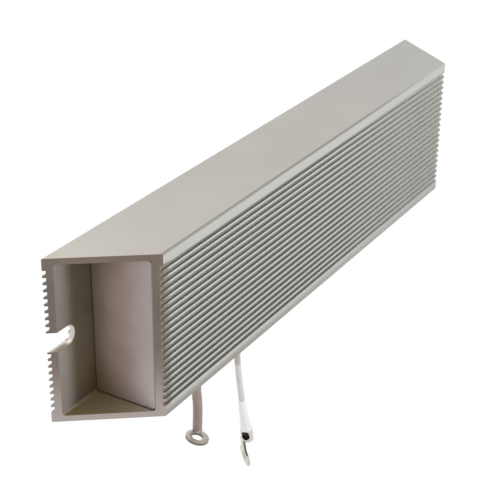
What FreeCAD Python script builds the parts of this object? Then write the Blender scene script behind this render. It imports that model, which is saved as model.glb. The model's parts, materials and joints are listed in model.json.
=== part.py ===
import FreeCAD, Part
import math
import os
import Sketcher
from FreeCAD import Placement, Rotation, Vector

# Braking resistor in an oblique-ended, ribbed aluminium housing.
# Millimetres. X runs along the housing with the lead end at -X, Z is up.
# The mounting side is the plane Y = 0 and the body reaches to Y = -body_depth.
# The origin is the centre of the mounting side.

SHEET_ROWS = (
    ("base_len", 265.0, "length of the mounting side"),
    ("end_setback", 22.7, "how far the oblique cut sets the front back at each end"),
    ("body_depth", 30.0, "mounting side to front, over the rib tips"),
    ("body_height", 60.0, "across the narrow faces"),
    ("side_wall", 2.2, "thickness of the two narrow walls"),
    ("web_thk", 1.85, "thickness of the wide walls under the ribs"),
    ("rib_depth", 0.95, "depth of the grooves between the ribs"),
    ("rib_pitch", 2.5, "rib to rib"),
    ("groove_count", 21.0, "grooves on each wide face"),
    ("groove_width", 1.55, "clear width of a groove"),
    ("rib_tip_cut", 0.15, "bevel of the rib tips"),
    ("outer_radius", 0.4, "rounding of the housing's long edges"),
    ("inner_radius", 1.0, "rounding of the cavity's long corners"),
    ("slot_width", 7.0, "width of the open mounting slots"),
    ("slot_reach", 11.0, "depth of the slots from the end of the mounting side"),
    ("plate_thk", 2.0, "end plate thickness"),
    ("plate_gap", 0.35, "gap round an end plate"),
    ("mica_thk", 1.0, "end insulator thickness"),
    ("support_thk", 8.0, "former support thickness"),
    ("support_gap", 0.3, "gap round a former support"),
    ("board_thk", 3.0, "winding former thickness"),
    ("board_room", 10.8, "winding former's edges to the narrow walls"),
    ("board_seat", 5.0, "how deep the former sits in a support"),
    ("board_gap", 0.1, "gap round the former in a support"),
    ("turn_count", 28.0, "turns of the winding"),
    ("strip_width", 3.0, "resistance strip width"),
    ("strip_thk", 0.5, "resistance strip thickness"),
    ("tail_width", 2.0, "height of the winding's end tails"),
    ("tail_len", 3.0, "length of the winding's end tails"),
    ("bar_width", 3.0, "terminal bar width"),
    ("bar_thk", 0.8, "terminal bar thickness"),
    ("bar_clear", 2.0, "bar to former support"),
    ("bar_drop", 4.0, "former's lower edge to the running bar"),
    ("bar_rise", 12.0, "how far the bar reaches up the former"),
    ("sleeve_gap", 0.3, "winding to mica sleeve"),
    ("sleeve_thk", 0.8, "mica sleeve wall"),
    ("crimp_size", 3.0, "side of the pressed inner crimps"),
    ("crimp_clear", 1.2, "inner crimps to the mica sleeve"),
    ("crimp_gap", 0.5, "bushing to inner crimp"),
    ("wire_dia", 2.4, "lead wire over its insulation"),
    ("core_dia", 1.4, "bare conductor"),
    ("jacket_dia", 3.6, "lead 1 over its woven sleeving"),
    ("bush_dia", 5.0, "lead bushing and its hole"),
    ("bush_inside", 1.0, "how far a bushing stands into the cavity"),
    ("lead_1_from_end", 64.0, "near end of the mounting side to lead 1"),
    ("lead_pitch", 27.7, "lead 1 to lead 2"),
    ("lug_1_barrel_dia", 2.8, "barrel of the lead 1 terminal, inside the sleeving"),
    ("lug_1_barrel_len", 5.4, "length of that barrel"),
    ("lug_1_reach", 3.7, "barrel axis to the eye of lead 1"),
    ("lug_2_barrel_dia", 4.9, "barrel of the lead 2 terminal"),
    ("lug_2_barrel_len", 5.9, "length of that barrel"),
    ("lug_2_reach", 9.0, "barrel end to the eye of lead 2"),
    ("lug_thk", 0.9, "terminal tongue thickness"),
    ("eye_dia", 8.8, "terminal eye outside"),
    ("eye_hole", 4.3, "terminal eye hole"),
    ("neck_width", 3.4, "terminal neck"),
    ("dimple_dia", 3.2, "crimp dimple"),
    ("dimple_depth", 1.6, "depth of the crimp dimple"),
    ("jacket_end", 0.55, "sleeving's end to the tongue of lead 1"),
    ("jacket_clear", 0.05, "sleeving to the barrel inside it"),
    ("boot_len", 15.8, "tapered boot over the end of lead 2"),
    ("boot_end_dia", 4.3, "boot at its wide end"),
    ("boot_wall", 0.15, "boot wall at its narrow end"),
    ("boot_clear", 0.05, "boot to the wire inside it"),
)

# How far cutting outlines, and the slots' depth, run past the metal that they cut.
CUT_MARGIN = 4.0
SLOT_OVERCUT = 1.0

# The leads hang freely, so their routes are lists of points chosen by hand.
LEAD_1_DROP = ((0.0, 0.0), (0.0, -29.8))
LEAD_2_DROP = ((0.0, 0.0), (0.0, -12.0), (2.0, -30.0), (7.6, -54.4))

# How each terminal lies, in degrees.
EYE_1_HEADING = 210.0
EYE_1_ROLL = -14.0
EYE_2_HEADING = 141.0
DIMPLE_HEADING = -32.0

document = FreeCAD.newDocument("braking_resistor")


class Size:
    """A sheet value or a sum made of sheet values: its number, and the expression that binds it."""

    def __init__(self, value, text):
        self.value = value
        self.text = text

    def __add__(self, other):
        other = as_size(other)
        return Size(self.value + other.value, f"({self.text} + {other.text})")

    def __sub__(self, other):
        other = as_size(other)
        return Size(self.value - other.value, f"({self.text} - {other.text})")

    def __mul__(self, other):
        other = as_size(other)
        return Size(self.value * other.value, f"({self.text} * {other.text})")

    def __truediv__(self, other):
        other = as_size(other)
        return Size(self.value / other.value, f"({self.text} / {other.text})")

    def __neg__(self):
        return Size(-self.value, f"(0 - {self.text})")


def as_size(value):
    """A plain number as a Size."""
    return value if isinstance(value, Size) else Size(float(value), f"({float(value)})")


def make_sheet():
    """The spreadsheet, and its rows as Sizes by their alias."""
    sheet = document.addObject("Spreadsheet::Sheet", "Sizes")
    sizes = {}
    for row, (alias, value, note) in enumerate(SHEET_ROWS, start=1):
        sheet.set(f"A{row}", note)
        sheet.set(f"B{row}", str(value))
        sheet.setAlias(f"B{row}", alias)
        sizes[alias] = Size(value, f"Sizes.{alias}")
    document.recompute()
    return sizes


size = make_sheet()

# Places that several pieces share.
HALF_BASE = size["base_len"] / 2
WIDE_WALL = size["web_thk"] + size["rib_depth"]
MIDDLE_DEPTH = size["body_depth"] / 2
CAVITY_FRONT = -(size["body_depth"] - WIDE_WALL)
CAVITY_BACK = -WIDE_WALL
CAVITY_HALF = size["body_height"] / 2 - size["side_wall"]
# The oblique cut crosses the inside of the front wall here, and the end plates lie flush with it.
PLATE_OUT = HALF_BASE - size["end_setback"] * (size["body_depth"] - WIDE_WALL) / size["body_depth"]
PLATE_IN = PLATE_OUT - size["plate_thk"]
SUPPORT_OUT = PLATE_IN - size["mica_thk"]
SUPPORT_IN = SUPPORT_OUT - size["support_thk"]
BOARD_HALF = SUPPORT_IN + size["board_seat"]
BOARD_EDGE = CAVITY_HALF - size["board_room"]
BAR_OUT = SUPPORT_IN - size["bar_clear"]
BAR_IN = BAR_OUT - size["bar_width"]
WOUND_HALF = BAR_IN - size["tail_len"]
TURN_PITCH = (WOUND_HALF * 2 - size["strip_width"]) / size["turn_count"]
BOARD_FRONT = MIDDLE_DEPTH + size["board_thk"] / 2
BOARD_BACK = MIDDLE_DEPTH - size["board_thk"] / 2
BAR_TOP = -(BOARD_EDGE + size["bar_drop"])
BAR_BOTTOM = BAR_TOP - size["bar_width"]
LEAD_1_X = size["lead_1_from_end"] - HALF_BASE
LEAD_2_X = LEAD_1_X + size["lead_pitch"]
FLOOR_Z = -(size["body_height"] / 2)
BUSH_TOP = size["side_wall"] + size["bush_inside"]
CRIMP_LOW = BUSH_TOP + size["crimp_gap"]
# The mica sleeve's half depth and half height, outside.
SLEEVE_DEPTH = size["board_thk"] / 2 + size["strip_thk"] + size["sleeve_gap"] + size["sleeve_thk"]
SLEEVE_EDGE = BOARD_EDGE + size["strip_thk"] + size["sleeve_gap"] + size["sleeve_thk"]
CRIMP_LEN = -FLOOR_Z - SLEEVE_EDGE - size["crimp_clear"] - CRIMP_LOW


def new_body(label):
    """An empty body whose label names its file."""
    body = document.addObject("PartDesign::Body", label)
    body.Label = label
    return body


def new_sketch(body, name, role, offset=None, roll=0.0):
    """A sketch on one of the body's own origin planes, moved along its normal and rolled about its X."""
    sketch = body.newObject("Sketcher::SketchObject", f"{body.Name}_{name}")
    planes = [item for item in body.Origin.OriginFeatures if item.Role == role]
    sketch.AttachmentSupport = [(planes[0], "")]
    sketch.MapMode = "FlatFace"
    sketch.AttachmentOffset = Placement(Vector(0, 0, 0), Rotation(Vector(1, 0, 0), roll))
    if offset is not None:
        sketch.setExpression("AttachmentOffset.Base.z", offset.text)
    return sketch


def fix_point(sketch, geometry, position, point):
    """Bind a point of the sketch to its two coordinates."""
    for kind, value in zip(("DistanceX", "DistanceY"), point):
        value = as_size(value)
        index = sketch.addConstraint(Sketcher.Constraint(kind, -1, 1, geometry, position, value.value))
        sketch.setExpression(f"Constraints[{index}]", value.text)


def sign(number):
    """-1, 0 or 1."""
    return 0.0 if abs(number) < 1e-9 else math.copysign(1.0, number)


def add_line(sketch, start, end):
    """A straight edge bound at both ends."""
    line = sketch.addGeometry(
        Part.LineSegment(Vector(start[0].value, start[1].value, 0), Vector(end[0].value, end[1].value, 0))
    )
    fix_point(sketch, line, 1, start)
    fix_point(sketch, line, 2, end)


def add_arc(sketch, centre, start, end):
    """The shorter arc round a centre between two points on its circle, bound at all three."""
    offsets = [
        Vector(point[0].value - centre[0].value, point[1].value - centre[1].value, 0)
        for point in (start, end)
    ]
    angles = [math.atan2(offset.y, offset.x) for offset in offsets]
    if (angles[1] - angles[0]) % (2 * math.pi) > math.pi + 1e-6:
        angles.reverse()
        offsets.reverse()
        start, end = end, start
    circle = Part.Circle(Vector(centre[0].value, centre[1].value, 0), Vector(0, 0, 1), offsets[0].Length)
    arc = sketch.addGeometry(Part.ArcOfCircle(circle, angles[0], angles[1]))
    fix_point(sketch, arc, 3, centre)
    fix_point(sketch, arc, 1, start)
    # The last point needs one bound only, the one that changes fastest along the circle.
    steep = abs(offsets[1].x) > abs(offsets[1].y)
    kind, bound = ("DistanceY", end[1]) if steep else ("DistanceX", end[0])
    index = sketch.addConstraint(Sketcher.Constraint(kind, -1, 1, arc, 2, bound.value))
    sketch.setExpression(f"Constraints[{index}]", bound.text)


def add_outline(sketch, corners):
    """Draw a closed outline. A corner is (x, y), or (x, y, radius) where two square edges meet."""
    corners = [tuple(as_size(value) for value in corner) for corner in corners]
    arrivals = []
    departures = []
    for index, corner in enumerate(corners):
        following = corners[(index + 1) % len(corners)]
        for neighbour, points in ((corners[index - 1], arrivals), (following, departures)):
            radius = corner[2] if len(corner) == 3 else as_size(0)
            points.append(
                tuple(corner[k] + radius * sign(neighbour[k].value - corner[k].value) for k in (0, 1))
            )
    for index, corner in enumerate(corners):
        add_line(sketch, departures[index], arrivals[(index + 1) % len(corners)])
        if len(corner) == 3:
            arrival, departure = arrivals[index], departures[index]
            centre = tuple(arrival[k] + departure[k] - corner[k] for k in (0, 1))
            add_arc(sketch, centre, arrival, departure)


def add_circle(sketch, centre, radius):
    """Draw a circle bound to its centre and radius."""
    circle = sketch.addGeometry(
        Part.Circle(Vector(as_size(centre[0]).value, as_size(centre[1]).value, 0), Vector(0, 0, 1), radius.value)
    )
    fix_point(sketch, circle, 3, centre)
    index = sketch.addConstraint(Sketcher.Constraint("Radius", circle, radius.value))
    sketch.setExpression(f"Constraints[{index}]", radius.text)


def box_corners(low, high, radius=None):
    """The corners of an upright rectangle from its low and high corner."""
    corners = ((low[0], low[1]), (high[0], low[1]), (high[0], high[1]), (low[0], high[1]))
    return corners if radius is None else tuple(corner + (radius,) for corner in corners)


def bevelled_corners(low, high, cut):
    """The corners of an upright rectangle whose own corners are cut off."""
    return (
        (low[0] + cut, low[1]),
        (high[0] - cut, low[1]),
        (high[0], low[1] + cut),
        (high[0], high[1] - cut),
        (high[0] - cut, high[1]),
        (low[0] + cut, high[1]),
        (low[0], high[1] - cut),
        (low[0], low[1] + cut),
    )


def add_pad(body, sketch, length, symmetric=False):
    """Pad a sketch along its normal, or to both sides of it."""
    feature = body.newObject("PartDesign::Pad", f"{sketch.Name}_pad")
    feature.Profile = sketch
    feature.setExpression("Length", length.text)
    feature.SideType = "Symmetric" if symmetric else "One side"
    body.Tip = feature
    return feature


def add_pocket(body, sketch, length=None, symmetric=False):
    """Cut a sketch against its normal to a length, or right through."""
    feature = body.newObject("PartDesign::Pocket", f"{sketch.Name}_pocket")
    feature.Profile = sketch
    feature.SideType = "Symmetric" if symmetric else "One side"
    if length is None:
        feature.Type = "ThroughAll"
    else:
        feature.setExpression("Length", length.text)
    body.Tip = feature
    return feature


def add_pattern(body, features, axis_role, length, count):
    """Repeat features along one of the body's origin axes."""
    pattern = body.newObject("PartDesign::LinearPattern", f"{body.Name}_pattern")
    pattern.Originals = features
    axis = [item for item in body.Origin.OriginFeatures if item.Role == axis_role][0]
    pattern.Direction = (axis, [""])
    pattern.setExpression("Length", length.text)
    pattern.setExpression("Occurrences", count.text)
    body.Tip = pattern
    return pattern


def add_groove(sketch, face, inward):
    """Outline of the lowest groove on a wide face, its mouth bevelled into the rib tips."""
    middle = -(size["rib_pitch"] * (size["groove_count"] - 1) / 2)
    half = size["groove_width"] / 2
    mouth = half + size["rib_tip_cut"]
    outside = face - CUT_MARGIN * inward
    bevel = face + size["rib_tip_cut"] * inward
    floor = face + size["rib_depth"] * inward
    add_outline(
        sketch,
        (
            (outside, middle - mouth),
            (face, middle - mouth),
            (bevel, middle - half),
            (floor, middle - half),
            (floor, middle + half),
            (bevel, middle + half),
            (face, middle + mouth),
            (outside, middle + mouth),
        ),
    )


def add_open_slot(sketch, side):
    """Outline of a slot that is open at one end of the mounting side and round at its floor."""
    radius = size["slot_width"] / 2
    mouth = (HALF_BASE + CUT_MARGIN) * side
    middle = (HALF_BASE - size["slot_reach"] + radius) * side
    add_line(sketch, (mouth, -radius), (mouth, radius))
    for half in (radius, -radius):
        add_line(sketch, (mouth, half), (middle, half))
    round_ends = ((middle, -radius), (middle, radius))
    first, last = round_ends if side < 0 else reversed(round_ends)
    add_arc(sketch, (middle, as_size(0)), first, last)


def make_housing():
    """The extruded shell: hollow section, ribs, oblique ends, open slots and lead holes."""
    body = new_body("housing")
    half_height = size["body_height"] / 2
    section = new_sketch(body, "section", "YZ_Plane")
    outer = box_corners((-size["body_depth"], -half_height), (as_size(0), half_height), size["outer_radius"])
    inner = box_corners((CAVITY_FRONT, -CAVITY_HALF), (CAVITY_BACK, CAVITY_HALF), size["inner_radius"])
    add_outline(section, outer)
    add_outline(section, inner)
    add_pad(body, section, size["base_len"], symmetric=True)

    grooves = new_sketch(body, "grooves", "YZ_Plane")
    add_groove(grooves, -size["body_depth"], 1)
    add_groove(grooves, as_size(0), -1)
    cut = add_pocket(body, grooves, symmetric=True)
    add_pattern(body, [cut], "Z_Axis", size["rib_pitch"] * (size["groove_count"] - 1), size["groove_count"])

    ends = new_sketch(body, "ends", "XY_Plane")
    slope = size["end_setback"] / size["body_depth"]
    behind = HALF_BASE + slope * CUT_MARGIN
    before = HALF_BASE - size["end_setback"] - slope * CUT_MARGIN
    beyond = behind + CUT_MARGIN
    front = -(size["body_depth"] + CUT_MARGIN)
    add_outline(ends, ((behind, CUT_MARGIN), (before, front), (beyond, front), (beyond, CUT_MARGIN)))
    add_outline(ends, ((-behind, CUT_MARGIN), (-before, front), (-beyond, front), (-beyond, CUT_MARGIN)))
    add_pocket(body, ends, symmetric=True)

    slots = new_sketch(body, "slots", "XZ_Plane")
    add_open_slot(slots, 1)
    add_open_slot(slots, -1)
    add_pocket(body, slots, (WIDE_WALL + SLOT_OVERCUT) * 2, symmetric=True)

    holes = new_sketch(body, "lead_holes", "XY_Plane")
    for lead_x in (LEAD_1_X, LEAD_2_X):
        add_circle(holes, (lead_x, -MIDDLE_DEPTH), size["bush_dia"] / 2)
    add_pocket(body, holes)
    return body


def cavity_corners(gap):
    """The cavity's low and high corner, drawn in by a gap."""
    return (CAVITY_FRONT + gap, -(CAVITY_HALF - gap)), (CAVITY_BACK - gap, CAVITY_HALF - gap)


def make_end_plate(label, low):
    """A flat plate with rounded corners pressed into the cavity's end."""
    body = new_body(label)
    outline = new_sketch(body, "outline", "YZ_Plane", low)
    add_outline(outline, box_corners(*cavity_corners(size["plate_gap"]), size["inner_radius"]))
    add_pad(body, outline, size["plate_thk"])
    return body


def make_inner_layer(label, low, thickness, gap):
    """A sheet or block across the cavity, its corners cut off to clear the cavity's rounding."""
    body = new_body(label)
    outline = new_sketch(body, "outline", "YZ_Plane", low)
    add_outline(outline, bevelled_corners(*cavity_corners(gap), size["inner_radius"]))
    add_pad(body, outline, thickness)
    return body


def make_support(label, closed_low, open_low):
    """A ceramic block with a blind slot that holds one end of the former."""
    gap = size["support_gap"]
    closed = size["support_thk"] - size["board_seat"] - size["board_gap"]
    body = make_inner_layer(label, closed_low, closed, gap)
    rim = new_sketch(body, "rim", "YZ_Plane", open_low)
    add_outline(rim, bevelled_corners(*cavity_corners(gap), size["inner_radius"]))
    edge = BOARD_EDGE + size["board_gap"]
    add_outline(
        rim,
        box_corners((-(BOARD_FRONT + size["board_gap"]), -edge), (-(BOARD_BACK - size["board_gap"]), edge)),
    )
    add_pad(body, rim, size["board_seat"] + size["board_gap"])
    return body


def make_former():
    """The mica board that carries the winding."""
    body = new_body("winding_former")
    section = new_sketch(body, "section", "YZ_Plane")
    add_outline(section, box_corners((-BOARD_FRONT, -BOARD_EDGE), (-BOARD_BACK, BOARD_EDGE)))
    add_pad(body, section, BOARD_HALF * 2, symmetric=True)
    return body


def make_winding():
    """Flat strip wound round the former: straight across the front, one pitch aslant at the back."""
    body = new_body("resistance_winding")
    start = -WOUND_HALF
    width = size["strip_width"]
    rim = BOARD_EDGE + size["strip_thk"]

    def run(name, corners, depth, thickness):
        sketch = new_sketch(body, name, "XZ_Plane", depth)
        add_outline(sketch, corners)
        return add_pad(body, sketch, thickness)

    turn = [
        run("front", box_corners((start, -rim), (start + width, rim)), BOARD_FRONT, size["strip_thk"]),
        run("over", box_corners((start, BOARD_EDGE), (start + width, rim)), BOARD_BACK, size["board_thk"]),
        run(
            "back",
            (
                (start, rim),
                (start + TURN_PITCH, -rim),
                (start + TURN_PITCH + width, -rim),
                (start + width, rim),
            ),
            BOARD_BACK - size["strip_thk"],
            size["strip_thk"],
        ),
        run(
            "under",
            box_corners((start + TURN_PITCH, -rim), (start + TURN_PITCH + width, -BOARD_EDGE)),
            BOARD_BACK,
            size["board_thk"],
        ),
    ]
    add_pattern(body, turn, "X_Axis", TURN_PITCH * (size["turn_count"] - 1), size["turn_count"])
    last = WOUND_HALF - width
    run("last", box_corners((last, -rim), (WOUND_HALF, rim)), BOARD_FRONT, size["strip_thk"])
    tails = new_sketch(body, "tails", "XZ_Plane", BOARD_FRONT)
    tail_low = -BOARD_EDGE + size["tail_width"]
    tail_high = tail_low + size["tail_width"]
    add_outline(tails, box_corners((-BAR_IN, tail_low), (start, tail_high)))
    add_outline(tails, box_corners((WOUND_HALF, tail_low), (BAR_IN, tail_high)))
    add_pad(body, tails, size["strip_thk"])
    return body


def make_bar(label, side, lead_x):
    """A terminal bar: up the former's face at one end, then along under it to its crimp."""
    body = new_body(label)
    sketch = new_sketch(body, "outline", "XZ_Plane", BOARD_FRONT)
    reach = lead_x + size["crimp_size"] / 2 * -side
    top = -BOARD_EDGE + size["bar_rise"]
    add_outline(
        sketch,
        (
            (BAR_OUT * side, top),
            (BAR_OUT * side, BAR_BOTTOM),
            (reach, BAR_BOTTOM),
            (reach, BAR_TOP),
            (BAR_IN * side, BAR_TOP),
            (BAR_IN * side, top),
        ),
    )
    add_pad(body, sketch, size["bar_thk"])
    return body


def make_mica_sleeve():
    """The insulating sleeve round the winding, open at both ends."""
    body = new_body("mica_sleeve")
    section = new_sketch(body, "section", "YZ_Plane")
    for wall in (as_size(0), size["sleeve_thk"]):
        depth = SLEEVE_DEPTH - wall
        edge = SLEEVE_EDGE - wall
        add_outline(section, box_corners((-MIDDLE_DEPTH - depth, -edge), (-MIDDLE_DEPTH + depth, edge)))
    add_pad(body, section, BAR_IN * 2, symmetric=True)
    return body


def make_filler(pieces):
    """The compacted fill: the cavity between the supports, less all that lies in it."""
    body = new_body("fill_block")
    section = new_sketch(body, "section", "YZ_Plane")
    add_outline(section, box_corners(*cavity_corners(as_size(0)), size["inner_radius"]))
    add_pad(body, section, SUPPORT_IN * 2, symmetric=True)
    wrap = document.addObject("Part::Box", "wound_space")
    wrap.setExpression("Length", (BAR_IN * 2).text)
    wrap.setExpression("Width", (SLEEVE_DEPTH * 2).text)
    wrap.setExpression("Height", (SLEEVE_EDGE * 2).text)
    wrap.setExpression("Placement.Base.x", (-BAR_IN).text)
    wrap.setExpression("Placement.Base.y", (-MIDDLE_DEPTH - SLEEVE_DEPTH).text)
    wrap.setExpression("Placement.Base.z", (-SLEEVE_EDGE).text)
    held = document.addObject("Part::MultiFuse", "held_in_fill")
    held.Shapes = [wrap] + pieces
    filler = document.addObject("Part::Cut", "filler")
    filler.Label = "filler"
    filler.Base = body
    filler.Tool = held
    return filler


def make_bushing(label, lead_x):
    """The insulating bushing that lines a lead hole, flush outside."""
    body = new_body(label)
    ring = new_sketch(body, "ring", "XY_Plane", FLOOR_Z)
    centre = (lead_x, -MIDDLE_DEPTH)
    add_circle(ring, centre, size["bush_dia"] / 2)
    add_circle(ring, centre, size["wire_dia"] / 2)
    add_pad(body, ring, BUSH_TOP)
    return body


def make_lead_root(label, lead_x):
    """The wire's end inside the housing: insulated through the bushing, bare in the crimp."""
    body = new_body(label)
    centre = (lead_x, -MIDDLE_DEPTH)
    wire = new_sketch(body, "wire", "XY_Plane", FLOOR_Z)
    add_circle(wire, centre, size["wire_dia"] / 2)
    add_pad(body, wire, CRIMP_LOW)
    core = new_sketch(body, "core", "XY_Plane", FLOOR_Z + CRIMP_LOW)
    add_circle(core, centre, size["core_dia"] / 2)
    add_pad(body, core, CRIMP_LEN)
    return body


def make_inner_crimp(label, lead_x):
    """The pressed square crimp that joins the bare conductor to its bar."""
    body = new_body(label)
    section = new_sketch(body, "section", "XY_Plane", FLOOR_Z + CRIMP_LOW)
    half = size["crimp_size"] / 2
    add_outline(
        section,
        box_corners((lead_x - half, -BOARD_FRONT), (lead_x + half, -BOARD_FRONT + size["crimp_size"])),
    )
    add_circle(section, (lead_x, -MIDDLE_DEPTH), size["core_dia"] / 2)
    add_pad(body, section, CRIMP_LEN)
    return body


def lead_path(exit_x, drops):
    """Straight runs joined by tangent arcs, each as large as its two runs allow."""
    points = [
        Vector(exit_x.value + across, -MIDDLE_DEPTH.value, FLOOR_Z.value + down)
        for across, down in drops
    ]
    edges = []
    start = points[0]
    for before, corner, after in zip(points, points[1:], points[2:]):
        towards = (before - corner).normalize()
        onwards = (after - corner).normalize()
        turn = math.pi - towards.getAngle(onwards)
        cut = 0.45 * min((before - corner).Length, (after - corner).Length)
        radius = cut / math.tan(turn / 2)
        FreeCAD.Console.PrintMessage(f"lead bend radius {radius:.0f} mm\n")
        bisector = (towards + onwards).normalize()
        middle = corner + bisector * (radius / math.cos(turn / 2) - radius)
        edges.append(Part.LineSegment(start, corner + towards * cut).toShape())
        edges.append(Part.Arc(corner + towards * cut, middle, corner + onwards * cut).toShape())
        start = corner + onwards * cut
    edges.append(Part.LineSegment(start, points[-1]).toShape())
    return Part.Wire(edges), points[-1], (points[-1] - points[-2]).normalize()


def make_lead(label, exit_x, drops, diameter):
    """A hanging wire, with the point where it ends and its direction there."""
    path, end, direction = lead_path(exit_x, drops)
    first = path.Edges[0]
    start = first.valueAt(first.FirstParameter)
    circle = Part.Wire(Part.makeCircle(diameter.value / 2, start, first.tangentAt(first.FirstParameter)))
    lead = document.addObject("Part::Feature", label)
    lead.Label = label
    lead.Shape = path.makePipeShell([circle], True, False)
    return lead, end, direction


def make_jacketed_lead(label, exit_x, drops):
    """Lead 1: its woven sleeving runs down over the terminal's barrel."""
    lead, end, _ = make_lead(f"{label}_run", exit_x, drops, size["jacket_dia"])
    reach = size["lug_1_barrel_len"] - size["jacket_end"]
    shell = document.addObject("Part::Cylinder", f"{label}_shell")
    bore = document.addObject("Part::Cylinder", f"{label}_bore")
    for cylinder, radius in (
        (shell, size["jacket_dia"] / 2),
        (bore, size["lug_1_barrel_dia"] / 2 + size["jacket_clear"]),
    ):
        cylinder.setExpression("Radius", radius.text)
        cylinder.setExpression("Height", reach.text)
        cylinder.Placement.Base = end - Vector(0, 0, reach.value)
    tube = document.addObject("Part::Cut", f"{label}_tube")
    tube.Base = shell
    tube.Tool = bore
    jacketed = document.addObject("Part::Fuse", label)
    jacketed.Label = label
    jacketed.Base = lead
    jacketed.Tool = tube
    jacketed.Refine = True
    return jacketed, end


def add_tongue(body, role, offset, neck, eye_centre, roll=0.0):
    """The terminal's flat tongue: a straight neck and a ring with its hole."""
    plate = new_sketch(body, "neck", role, offset, roll)
    add_outline(plate, box_corners(*neck))
    add_pad(body, plate, size["lug_thk"])
    eye = new_sketch(body, "eye", role, offset, roll)
    add_circle(eye, eye_centre, size["eye_dia"] / 2)
    add_pad(body, eye, size["lug_thk"])
    hole = new_sketch(body, "hole", role, offset, roll)
    add_circle(hole, eye_centre, size["eye_hole"] / 2)
    add_pocket(body, hole, size["lug_thk"] * 4, symmetric=True)


def make_bent_terminal(end):
    """Ring terminal of lead 1: upright barrel, tongue bent level towards the front."""
    body = new_body("lead_1_terminal")
    barrel = new_sketch(body, "barrel", "XY_Plane", -size["lug_1_barrel_len"])
    radius = size["lug_1_barrel_dia"] / 2
    add_circle(barrel, (0, 0), radius)
    add_pad(body, barrel, size["lug_1_barrel_len"])
    half = size["neck_width"] / 2
    low = -(size["lug_1_barrel_len"] + size["lug_thk"])
    neck = ((-radius, -half), (size["lug_1_reach"] - size["eye_hole"] / 2, half))
    add_tongue(body, "XY_Plane", low, neck, (size["lug_1_reach"], 0), EYE_1_ROLL)
    body.Placement = Placement(end, Rotation(Vector(0, 0, 1), EYE_1_HEADING))
    return body


def make_straight_terminal(end, direction):
    """Ring terminal of lead 2: dimpled barrel, with the eye hanging below from its wall."""
    body = new_body("lead_2_terminal")
    radius = size["lug_2_barrel_dia"] / 2
    barrel = new_sketch(body, "barrel", "XY_Plane", -size["lug_2_barrel_len"])
    add_circle(barrel, (0, 0), radius)
    add_pad(body, barrel, size["lug_2_barrel_len"])
    outward = Rotation(Vector(0, 0, 1), DIMPLE_HEADING).multVec(Vector(1, 0, 0))
    dimple = body.newObject("PartDesign::SubtractiveCylinder", "dimple")
    dimple.setExpression("Radius", (size["dimple_dia"] / 2).text)
    dimple.setExpression("Height", (size["dimple_depth"] * 2).text)
    dimple.Placement = Placement(
        outward * (radius - size["dimple_depth"]).value - Vector(0, 0, size["lug_2_barrel_len"].value / 2),
        Rotation(Vector(0, 0, 1), outward),
    )
    half = size["neck_width"] / 2
    eye_z = -(size["lug_2_barrel_len"] + size["lug_2_reach"])
    neck = ((-half, eye_z + size["eye_hole"] / 2), (half, -(size["lug_2_barrel_len"] - size["lug_thk"])))
    add_tongue(body, "XZ_Plane", radius - size["lug_thk"], neck, (0, eye_z))
    aligned = Rotation(Vector(0, 0, -1), direction)
    # The tongue lies on the local -Y side.
    body.Placement = Placement(end, aligned * Rotation(Vector(0, 0, 1), EYE_2_HEADING + 90))
    return body


def make_boot(end, direction):
    """The tapered boot over the end of lead 2, down to its terminal's barrel."""
    body = new_body("lead_2_boot")
    half = new_sketch(body, "half", "XZ_Plane")
    bore = size["wire_dia"] / 2 + size["boot_clear"]
    add_outline(
        half,
        (
            (bore, size["boot_len"]),
            (bore, 0),
            (size["boot_end_dia"] / 2, 0),
            (bore + size["boot_wall"], size["boot_len"]),
        ),
    )
    turned = body.newObject("PartDesign::Revolution", "boot_turned")
    turned.Profile = half
    turned.ReferenceAxis = (half, ["V_Axis"])
    turned.Angle = 360
    body.Tip = turned
    body.Placement = Placement(end, Rotation(Vector(0, 0, -1), direction))
    return body


def build():
    """Every sub-part of the resistor, as a list of document objects."""
    lead_1, end_1 = make_jacketed_lead("lead_1", LEAD_1_X, LEAD_1_DROP)
    lead_2, end_2, direction_2 = make_lead("lead_2", LEAD_2_X, LEAD_2_DROP, size["wire_dia"])
    former = make_former()
    near_bar = make_bar("near_terminal_bar", -1, LEAD_1_X)
    far_bar = make_bar("far_terminal_bar", 1, LEAD_2_X)
    set_in_fill = [former, near_bar, far_bar]
    for label, lead_x in (("lead_1", LEAD_1_X), ("lead_2", LEAD_2_X)):
        set_in_fill.append(make_lead_root(f"{label}_root", lead_x))
        set_in_fill.append(make_inner_crimp(f"{label}_crimp", lead_x))
        set_in_fill.append(make_bushing(f"{label}_bushing", lead_x))
    seat = size["board_seat"] + size["board_gap"]
    return [
        make_housing(),
        make_end_plate("near_end_plate", -PLATE_OUT),
        make_end_plate("far_end_plate", PLATE_IN),
        make_inner_layer("near_end_insulator", -PLATE_IN, size["mica_thk"], size["plate_gap"]),
        make_inner_layer("far_end_insulator", SUPPORT_OUT, size["mica_thk"], size["plate_gap"]),
        make_support("near_former_support", -SUPPORT_OUT, -(SUPPORT_IN + seat)),
        make_support("far_former_support", SUPPORT_IN + seat, SUPPORT_IN),
        make_winding(),
        make_mica_sleeve(),
        make_filler(set_in_fill),
        *set_in_fill,
        lead_1,
        lead_2,
        make_boot(end_2, direction_2),
        make_bent_terminal(end_1),
        make_straight_terminal(end_2, direction_2),
    ]


def check(parts):
    """Stop if any object failed or any sub-part is empty or broken."""
    for item in document.Objects:
        if {"Invalid", "Error"} & set(item.State):
            raise RuntimeError(f"{item.Name} failed: {item.State}")
    for item in parts:
        if item.Shape.isNull() or not item.Shape.isValid() or not item.Shape.Solids:
            raise RuntimeError(f"{item.Label} has no valid solid")


def write(parts):
    """One STEP file for each sub-part, named by its label."""
    os.makedirs("parts", exist_ok=True)
    for item in parts:
        item.Shape.exportStep(os.path.join("parts", f"{item.Label}.step"))


sub_parts = build()
document.recompute()
check(sub_parts)
write(sub_parts)
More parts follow.
